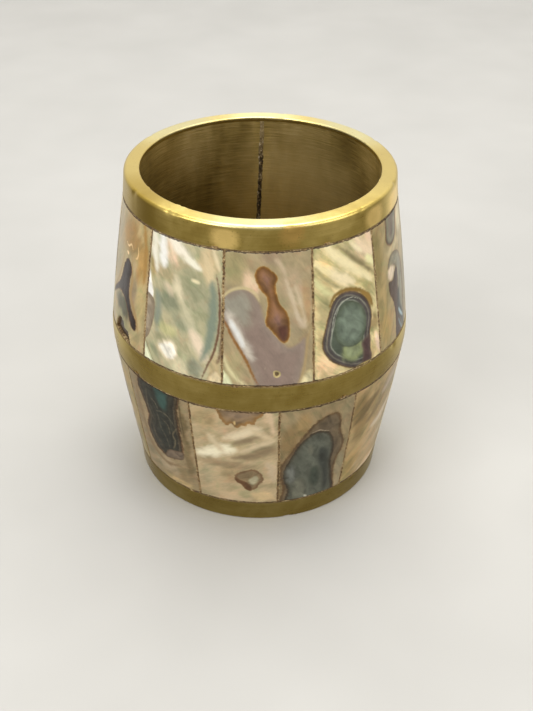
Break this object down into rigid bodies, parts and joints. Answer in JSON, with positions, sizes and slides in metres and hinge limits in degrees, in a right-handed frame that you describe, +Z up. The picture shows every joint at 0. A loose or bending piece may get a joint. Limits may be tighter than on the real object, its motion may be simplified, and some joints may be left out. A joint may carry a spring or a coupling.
{
  "type": "pen holder cup",
  "caption": "Barrel-shaped brass desk cup for pens, faced with two courses of mother-of-pearl tiles between brass hoops, with a brass liner and a flat foot.",
  "frame": {"origin": "centre of the foot, on the surface that the cup stands on", "axes": "+Z up along the cup's axis; -Y is the front; the liner's brazed seam is at +Y"},
  "size_m": [0.08, 0.08, 0.089],
  "materials": {
    "hoop_brass": "hand-polished, lightly tarnished",
    "liner_brass": "brushed, aged dark",
    "braze": "rough and pitted",
    "resin": "filled and sanded flush",
    "shell": "polished mother-of-pearl"
  },
  "bodies": {
    "root": {"liner": "liner_brass", "brazed_seam": "braze", "foot_disc": "liner_brass", "rim_hoop": "hoop_brass", "middle_hoop": "hoop_brass", "foot_hoop": "hoop_brass", "upper_bed": "resin", "lower_bed": "resin", "upper_tile_01": "shell", "upper_tile_02": "shell", "upper_tile_03": "shell", "upper_tile_04": "shell", "upper_tile_05": "shell", "upper_tile_06": "shell", "upper_tile_07": "shell", "upper_tile_08": "shell", "upper_tile_09": "shell", "upper_tile_10": "shell", "upper_tile_11": "shell", "lower_tile_01": "shell", "lower_tile_02": "shell", "lower_tile_03": "shell", "lower_tile_04": "shell", "lower_tile_05": "shell", "lower_tile_06": "shell", "lower_tile_07": "shell", "lower_tile_08": "shell", "lower_tile_09": "shell", "lower_tile_10": "shell", "lower_tile_11": "shell"}
  },
  "joints": []
}
